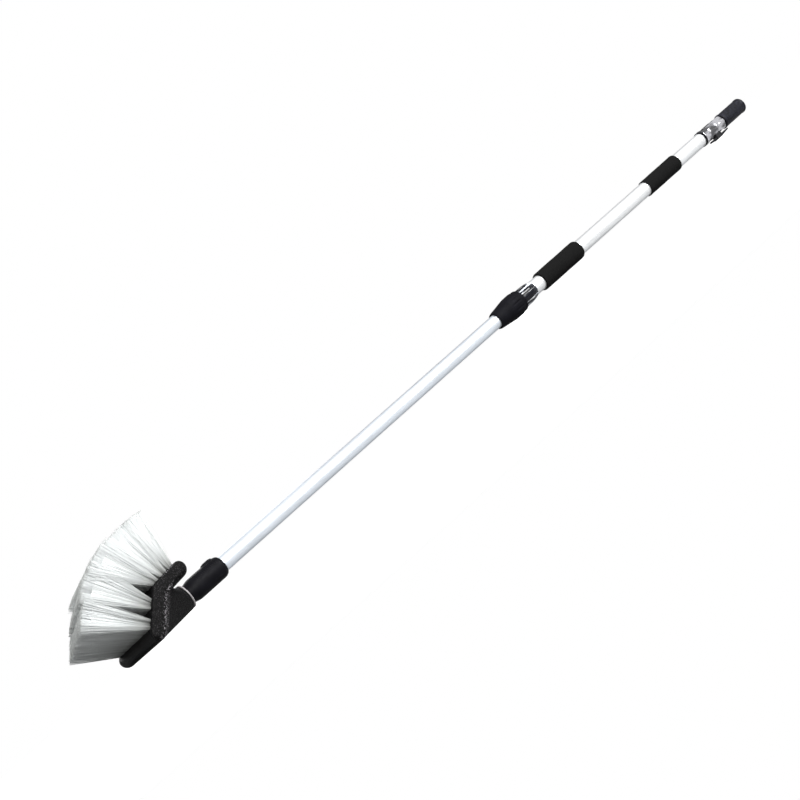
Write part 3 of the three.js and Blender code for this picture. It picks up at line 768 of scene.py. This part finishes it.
def make_nut():
    """A cone that swells to a fluted collar with a stepped rear edge."""
    start, end = ends("lock_nut")
    radius, flutes, flute_radius = 21.7, 12, 2.6
    corners = [(start, 15.3, 0.8), (start + 3, 16.4, 1.5), (start + 38, radius - 0.5, 5),
               (start + 43, radius, 3), (start + 57, radius, 2), (start + 60.5, radius - 1.1, 1),
               (end, radius - 1.3, 1.0), (end, 17.6, 0.5), (789.5, 17.6), (789.5, 16.7), (767, 14.3),
               (765, 12.9), (start, 12.9, 0.4)]

    def flute(x, r, angle):
        if r < 17.7 or x < start + 14:
            return r
        offset = abs(from_nearest(angle, flutes)) * r
        if offset >= flute_radius:
            return r
        depth = sqrt(flute_radius ** 2 - offset ** 2) * smooth_step(x, start + 14, start + 34)
        return min(r, radius + 1.6 - depth)

    settle(solid("twist_nut", *turned(dense(rounded(corners), 1.2), 288, flute)), "clamp_nut", "nut",
           ["lock_nut"])


def make_collet():
    """The ribbed skirt behind the nut, with its barrel, whose thread isn't drawn, and slotted fingers inside
    it.
    """
    start, end = ends("clamp_collet")
    skirt, ribs = 826.3, 10
    corners = [(start, 12.8, 0.3), (start, 13.9, 0.3), (788.5, 16), (791.5, 16), (791.5, 17.2),
               (skirt - 0.3, 17.2), (skirt, 16.4, 0.2), (end - 4, 15.2, 2), (end, 15.0, 0.5),
               (end, ON_TUBE, 0.3), (793, ON_TUBE), (793, 12.8)]

    def rib(x, r, angle):
        if r < 14.9 or x < skirt:
            return r
        top = np.interp(x, (skirt, end - 14, end - 2), (17.9, 17.4, 15.6))
        width = abs(from_nearest(angle, ribs)) * 16
        share = (1 - smooth_step(width, 1.2, 2.2)) * smooth_step(x, skirt, skirt + 1.2)
        share *= 1 - smooth_step(x, end - 2.5, end - 0.5)
        return r + (top - r) * share

    made = solid("ribbed_collet", *turned(dense(rounded(corners), 1.2), 240, rib))
    across = (-0.8, -20), (0.8, -20), (0.8, 20), (-0.8, 20)
    for turn in (0, pi / 3, 2 * pi / 3):
        sheet = [(x, y * cos(turn) - z * sin(turn), y * sin(turn) + z * cos(turn))
                 for x in (start - 2, start + 18) for y, z in across]
        combine(made, solid("slot", *loft([sheet[:4], sheet[4:]])))
    settle(made, "handle_pole", "collet", ["clamp_collet"])


def make_grip(name, node, radius, edge):
    """A foam sleeve, faintly uneven, pushed over the tube."""
    start, end = ends(node)
    corners = [(start, ON_TUBE, 0.4), (start, radius - 0.2, edge), (end, radius, edge), (end, ON_TUBE, 0.4)]

    def uneven(x, r, angle):
        if r < 14.8:
            return r
        wave = sin(x * 0.11 + 2 * sin(angle)) + 0.6 * sin(x * 0.27 + 3 * angle)
        return r + 0.09 * (wave + 0.4 * sin(5 * angle + x * 0.05))

    made = solid(name, *turned(dense(rounded(corners, steps=8), 2.0), 128, uneven))
    settle(made, "handle_pole", "foam", [node])


def make_end_ring():
    start, end = ends("tube_end_ring")
    outline = rounded([(start, ON_TUBE), (start, 15.4, 0.9), (end, 15.4, 0.5), (end, ON_TUBE)])
    settle(solid("end_ring", *turned(outline, 96)), "handle_pole", "nut", ["tube_end_ring"])


# ---------------------------------------------------------------- shut-off valve
VALVE_SPINDLE = 1468.0
VALVE_FLAT = {"start": 1456.6, "z": -11.2}   # under the body, where the lever's hub turns
VALVE_HEX, NUT_HEX = 14.2, 13.5              # from the axis to the flats
BOSS_RADIUS, STEM_BORE = 7.0, 3.3


def block_of(xs, ys, zs):
    """A box between pairs of x, y and z."""
    plan = (xs[0], ys[0]), (xs[1], ys[0]), (xs[1], ys[1]), (xs[0], ys[1])
    return loft([[(x, y, z) for x, y in plan] for z in zs])


def under_valve(low, high, radius, facets=48):
    """A round bar about the spindle's axis, which runs down from the pole."""
    return rod((VALVE_SPINDLE, 0, low), (VALVE_SPINDLE, 0, high), radius, facets)


def hexagonal(r, angle, apothem):
    return min(r, apothem / cos(from_nearest(angle, 6)))


def make_valve_body():
    start, end = ends("valve_body")
    corners = [(start, ON_TUBE, 0.3), (start, 15.8, 0.6), (start + 4, 15.8, 0.6), (start + 4.6, 15.0, 0.3),
               (start + 9, 15.0, 0.8), (start + 11, 13.7, 1), (start + 17, 13.7, 1), (start + 19, 14.8, 1.5),
               (end - 12, 14.8, 1.5), (end - 10.5, 14.1, 0.4), (end - 9, 14.1, 0.4), (end - 8.4, 15.2, 0.6),
               (end, 15.2, 0.8), (end, 9.9, 0.3), (1457.6, 9.9), (1457.6, 5.5), (1446.3, 5.5),
               (1446.3, ON_TUBE)]

    def flats(x, r, angle):
        return hexagonal(r, angle, VALVE_HEX) if x > end - 8.6 and r > 12 else r

    made = solid("valve_shell", *turned(dense(rounded(corners), 2.0), 144, flats))
    flat = block_of((VALVE_FLAT["start"], end + 1), (-18, 18), (-20, VALVE_FLAT["z"]))
    combine(made, solid("flat", *flat))
    combine(made, solid("boss", *under_valve(-10.7, -17.4, BOSS_RADIUS)), "UNION")
    combine(made, solid("stem_bore", *under_valve(-9, -19, STEM_BORE)))
    settle(made, "handle_pole", "chrome", ["valve_body"])


LEVER = {"hub": 10.3, "bore": 7.4, "waist": 8.0, "tail": 27.0, "reach": 35.0, "tip": 4.5}
LEVER_HEIGHTS = {"skirt": -11.6, "high": -16.6, "ceiling": -17.9, "edge": -19.4, "low": -22.2}


def make_lever():
    """A hub that skirts the boss, and a blade that thins towards its two rounded ends."""
    tip, waist, heights = LEVER["tip"], LEVER["waist"], LEVER_HEIGHTS

    def plan(inset):
        points = []
        for x, facing in ((LEVER["reach"] - tip, 0), (tip - LEVER["tail"], 180)):
            points += [(x + dx * (tip - inset), dy * (tip - inset))
                       for dx, dy in (heading(facing + turn) for turn in np.linspace(-80, 80, 13))]
            points.append((0, (waist - inset) * (1 if facing == 0 else -1)))
        return [(VALVE_SPINDLE + x, y) for x, y in points]

    def keel(x):
        far = LEVER["reach"] if x > VALVE_SPINDLE else LEVER["tail"]
        share = max(0.0, abs(x - VALVE_SPINDLE) - tip) / (far - tip)
        return heights["low"] + (heights["edge"] - heights["low"]) * min(1.0, share)

    rings = []
    for inset, share in ((0.7, 0), (0, 0.12), (0, 0.6), (0.3, 0.85), (0.9, 0.96), (1.8, 1.0)):
        rings.append([(x, y, heights["high"] + (keel(x) - heights["high"]) * share) for x, y in plan(inset)])
    made = solid("finger_lever", *loft(rings))
    hub = under_valve(heights["skirt"], heights["low"] + 0.02, LEVER["hub"], 72)
    combine(made, solid("hub", *hub), "UNION")
    holes = (heights["ceiling"], -10, LEVER["bore"]), (-23, heights["low"] + 1.2, 3), (-23, -16, 1.5)
    for low, high, radius in holes:
        combine(made, solid("hole", *under_valve(low, high, radius)))
    square = block_of((VALVE_SPINDLE - 2, VALVE_SPINDLE + 2), (-2, 2), (-19.6, -17))
    combine(made, solid("square", *square))
    settle(made, "valve_control", "lever", ["valve_lever"], sharp=40)


def make_screw():
    """A domed head with a cross recess, and its shank."""
    profile = ((1.0, -16.5), (1.0, -21.2), (2.5, -21.25), (2.6, -21.5), (2.2, -21.8), (1.2, -21.98),
               (0.5, -22.0))
    rings = [[(VALVE_SPINDLE + r * cos(t), r * sin(t), z) for t in np.linspace(0, 2 * pi, 33)[:-1]]
             for r, z in profile]
    made = solid("lever_screw_head", *loft(rings))
    for long, wide in ((1.5, 0.28), (0.28, 1.5)):
        slot = block_of((VALVE_SPINDLE - long, VALVE_SPINDLE + long), (-wide, wide), (-21.4, -23))
        combine(made, solid("recess", *slot))
    settle(made, "valve_control", "steel", ["lever_screw"])


def make_outlet_nut():
    start, end = ends("outlet_nut")
    corners = [(start, 9.9), (start, 14.5, 0.4), (start + 2, 15.6, 0.4), (end - 2, 15.6, 0.4),
               (end, 14.5, 0.4), (end, 8.5), (start + 2.3, 8.5), (start + 2.3, 9.9)]

    def flats(x, r, angle):
        return hexagonal(r, angle, NUT_HEX) if r > 12 else r

    shape = turned(dense(rounded(corners), 1.5), 144, flats)
    settle(solid("hex_nut", *shape), "handle_pole", "chrome", ["outlet_nut"], sharp=25)


SLEEVE_FLOOR, TAIL_FLANGE = 1512.0, 1512.3   # where the sleeve's wide bore and the stem's flange start
SLEEVE_THREAD = (1522, 1524)                 # over which the thread in the sleeve deepens


def make_tail():
    start, end = ends("tail_stem")
    corners = [(start, 5.5, 0.3), (start, 9.6, 0.3), (start + 3, 9.6, 0.2), (start + 3, 8.2, 0.2),
               (TAIL_FLANGE, 8.2, 0.3), (TAIL_FLANGE, 12.1, 0.2), (end, 12.1, 0.3), (end, 5.5, 0.3)]
    settle(solid("tail_pipe", *turned(rounded(corners), 96)), "handle_pole", "brass", ["tail_stem"])


# ---------------------------------------------------------------- hose coupling
def make_sleeve():
    """A straight coupling with a raised band at each end, fine ribs between them and a thread inside."""
    start, end = ends("end_sleeve")
    band, barrel, bore, neck, pitch = 15.7, 15.1, 12.6, 8.5, 2.3
    corners = [(start, band - 1.2, 0.4), (start + 1.2, band, 0.6), (start + 5, band, 0.5),
               (start + 6, barrel, 0.5), (end - 6, barrel, 0.5), (end - 5, band, 0.5),
               (end - 1.2, band, 0.8), (end, band - 1.2, 0.5), (end, bore + 0.9, 0.4),
               (end - 1.2, bore, 0.4), (SLEEVE_FLOOR, bore), (SLEEVE_FLOOR, neck), (start, neck, 0.4)]

    def detail(x, r, angle):
        if r > 14.9:
            inside = smooth_step(x, start + 6.5, start + 8) * (1 - smooth_step(x, end - 8, end - 6.5))
            return r - 0.3 * inside * (0.5 - 0.5 * cos(angle * 44)) ** 2
        if neck + 1 < r < 13.6:
            turn = (x / pitch - angle / (2 * pi)) % 1
            depth = smooth_step(x, *SLEEVE_THREAD) * (1 - smooth_step(x, end - 3.5, end - 1.5))
            return r + 0.75 * depth * (abs(turn - 0.5) * 2 - 0.35)
        return r

    shape = turned(dense(rounded(corners), 0.4), 176, detail)
    settle(solid("hose_sleeve", *shape), "hose_coupling", "sleeve", ["end_sleeve"])


def make_hose_washer():
    start, end = ends("hose_washer")
    outline = rounded([(start, 5.5, 0.7), (start, 12.2, 0.7), (end, 12.2, 0.7), (end, 5.5, 0.7)])
    made = solid("hose_seal", *turned(outline, 96))
    settle(made, "hose_coupling", "rubber", ["hose_washer"])


WIRE_PITCH, WIRE_RADIUS, WIRE_DISC = 1.2, 0.16, 10.4


def make_filter():
    """A pressed rim that holds a woven wire disc."""
    start, end = ends("filter_screen")
    middle = (start + end) / 2
    rim = turned(rounded([(start, 9.8), (start, 12.2, 0.3), (end, 12.2, 0.3), (end, 9.8, 0.3)]), 96)
    wires = []
    for k in range(-8, 9):
        offset = k * WIRE_PITCH
        half = sqrt(max(0.0, WIRE_DISC ** 2 - offset ** 2))
        for flip in (False, True):
            rings = []
            for t in np.linspace(-half, half, 25):
                x = middle + WIRE_RADIUS * cos(pi * t / WIRE_PITCH + pi * k) * (1 if flip else -1)
                centre = np.array((x, t, offset) if flip else (x, offset, t))
                other = np.array((0, 0, 1) if flip else (0, 1, 0))
                rings.append([tuple(centre + WIRE_RADIUS * (cos(a) * np.array((1, 0, 0)) + sin(a) * other))
                              for a in np.linspace(0, 2 * pi, 7)[:-1]])
            wires.append(loft(rings))
    made = solid("wire_filter", *together(rim, *wires))
    settle(made, "hose_coupling", "steel", ["filter_screen"])


# ---------------------------------------------------------------- everything in its place
make_block()
for number, band in enumerate(BANDS, 1):
    make_band(number, *band)
make_rim_washer()
make_adapter()
make_button()
make_tube("front_pole", "inner_tube", 11.3, 12.5, "inner_pole", "inner_tube")
make_tube("rear_pole", "outer_tube", 13.0, 14.0, "handle_pole", "outer_tube")
make_nut()
make_collet()
make_grip("front_grip", "foam_grip_large", 18.0, 4.5)
make_grip("rear_grip", "foam_grip_small", 16.4, 2.2)
make_end_ring()
make_valve_body()
make_lever()
make_screw()
make_outlet_nut()
make_tail()
make_sleeve()
make_hose_washer()
make_filter()

# What stays hidden inside keeps its CAD shape.
INSIDE = {
    "socket_insert": "white", "threaded_tip": "white", "adapter_seal": "rubber", "button_spring": "steel",
    "guide_bush": "white", "guide_o_ring": "rubber", "clamp_o_ring": "rubber", "valve_seat_front": "white",
    "valve_seat_rear": "white", "valve_ball": "chrome", "valve_spindle": "brass", "spindle_o_ring": "rubber",
}
for node, finish in INSIDE.items():
    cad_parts[node].data.materials.clear()
    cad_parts[node].data.materials.append(FINISHES[finish].material)


# ---------------------------------------------------------------- floor, surroundings and light
def ray_kind(tree, kind):
    return tree.nodes.new("ShaderNodeLightPath").outputs[kind]


def blend_numbers(tree, first, second, share):
    """Two numbers mixed by a share. Each is a number or a source."""
    node = tree.nodes.new("ShaderNodeMix")
    for index, value in ((2, first), (3, second), (0, share)):
        if isinstance(value, bpy.types.NodeSocket):
            tree.links.new(value, node.inputs[index])
        else:
            node.inputs[index].default_value = value
    return node.outputs[0]


FLOOR_REACH, FLOOR_DROP = 8.0, 0.0003     # metres
FLOOR_GLOW = 0.98        # extra brightness that only the camera sees, so that the floor is white
FLOOR_IN_GLOSS = 0.42    # the floor's tone in reflections
FLOOR_BOUNCE = 0.25      # what it sends back as soft light
SKY_SOFT, SKY_GLOSS, SKY_FLAG = 0.5, 0.7, 0.08   # as soft light, in reflections, and in the dark flag
FLAG_EDGES = ("Y", 0.1, 0.45), ("Z", -0.02, 0.05), ("Z", 0.85, 0.65)   # the directions it fades in over
LIGHTS = (                                # name, place, size, energy, aim
    ("key", (1.45, -1.9, 1.35), (2.0, 0.6), 85, (1.45, 0, 0.02)),
    ("low_strip", (1.5, -2.3, 0.38), (2.0, 0.22), 20, (1.5, 0, 0.02)),
    ("fill", (-0.9, -2.1, 0.75), (1.2, 1.2), 60, (-0.75, 0, 0.06)),
    ("back", (-0.2, 2.4, 1.3), (2.4, 1.2), 45, (-0.2, 0, 0.04)),
)


def make_floor():
    mesh = bpy.data.meshes.new("floor")
    corners = (-1, -1), (1, -1), (1, 1), (-1, 1)
    mesh.from_pydata([(x * FLOOR_REACH, y * FLOOR_REACH, 0) for x, y in corners], [], [(0, 1, 2, 3)])
    floor = bpy.data.objects.new("floor", mesh)
    floor.location.z = -FLOOR_DROP
    scene.collection.objects.link(floor)
    pale = bpy.data.materials.new("pale_floor")
    pale.use_nodes = True
    tree = pale.node_tree
    shader = tree.nodes["Principled BSDF"]
    shader.inputs["Specular IOR Level"].default_value = 0
    shader.inputs["Roughness"].default_value = 1
    shader.inputs["Emission Color"].default_value = (1, 1, 1, 1)
    tone = blend_numbers(tree, FLOOR_IN_GLOSS, FLOOR_BOUNCE, ray_kind(tree, "Is Diffuse Ray"))
    tree.links.new(tone, shader.inputs["Base Color"])
    glow = blend_numbers(tree, 0.0, FLOOR_GLOW, ray_kind(tree, "Is Camera Ray"))
    tree.links.new(glow, shader.inputs["Emission Strength"])
    mesh.materials.append(pale)


def make_surroundings():
    """White to the camera, softer as light, and with one dark flag behind the object in reflections."""
    world = bpy.data.worlds.new("studio")
    scene.world = world
    world.use_nodes = True
    tree = world.node_tree
    direction = tree.nodes.new("ShaderNodeTexCoord")
    parts = tree.nodes.new("ShaderNodeSeparateXYZ")
    tree.links.new(direction.outputs["Generated"], parts.inputs["Vector"])

    def window(axis, low, high):
        node = tree.nodes.new("ShaderNodeMapRange")
        node.interpolation_type = "SMOOTHSTEP"
        node.inputs["From Min"].default_value = low
        node.inputs["From Max"].default_value = high
        tree.links.new(parts.outputs[axis], node.inputs["Value"])
        return node.outputs["Result"]

    flag, *shares = (window(*edge) for edge in FLAG_EDGES)
    for share in shares:
        node = tree.nodes.new("ShaderNodeMath")
        node.operation = "MULTIPLY"
        tree.links.new(flag, node.inputs[0])
        tree.links.new(share, node.inputs[1])
        flag = node.outputs[0]
    gloss = blend_numbers(tree, SKY_GLOSS, SKY_FLAG, flag)
    soft = blend_numbers(tree, gloss, SKY_SOFT, ray_kind(tree, "Is Diffuse Ray"))
    seen = blend_numbers(tree, soft, 1.0, ray_kind(tree, "Is Camera Ray"))
    tree.links.new(seen, tree.nodes["Background"].inputs["Strength"])
    tree.nodes["Background"].inputs["Color"].default_value = (1, 1, 1, 1)


def make_soft_box(name, place, size, energy, aim):
    data = bpy.data.lights.new(name, "AREA")
    data.shape = "RECTANGLE"
    data.size, data.size_y = size
    data.energy = energy
    light = bpy.data.objects.new(name, data)
    light.location = place
    light.rotation_euler = (Vector(aim) - Vector(place)).to_track_quat("-Z", "Y").to_euler()
    scene.collection.objects.link(light)


make_floor()
make_surroundings()
for light in LIGHTS:
    make_soft_box(*light)
scene.view_settings.view_transform = "Standard"
